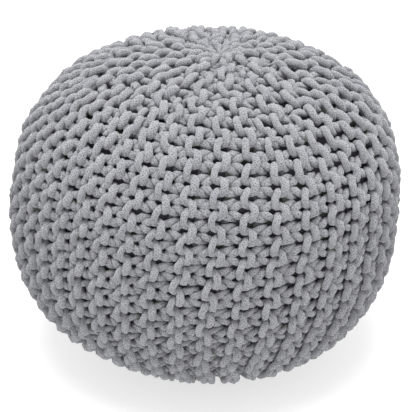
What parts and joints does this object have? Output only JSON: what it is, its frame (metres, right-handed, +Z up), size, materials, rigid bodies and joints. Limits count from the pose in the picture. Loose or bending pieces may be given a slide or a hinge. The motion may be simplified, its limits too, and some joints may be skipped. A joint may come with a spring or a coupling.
{
  "type": "knitted pouf",
  "caption": "Round floor pouf with a chunky knitted cord cover, gathered at top and bottom over a filled dark casing, settled a little to one side.",
  "frame": {"origin": "on the floor, under the middle of the widest section", "axes": "+Z up; the front as pictured faces -Y; +X to the right seen from the front"},
  "size_m": [0.5015, 0.5, 0.4104],
  "materials": {
    "knit_cord": "matte heathered cotton cord, garter stitch",
    "casing_cloth": "matte dark grey plain-weave cloth"
  },
  "bodies": {
    "root": {"knitted_cover": "knit_cord", "inner_casing": "casing_cloth"}
  },
  "joints": []
}
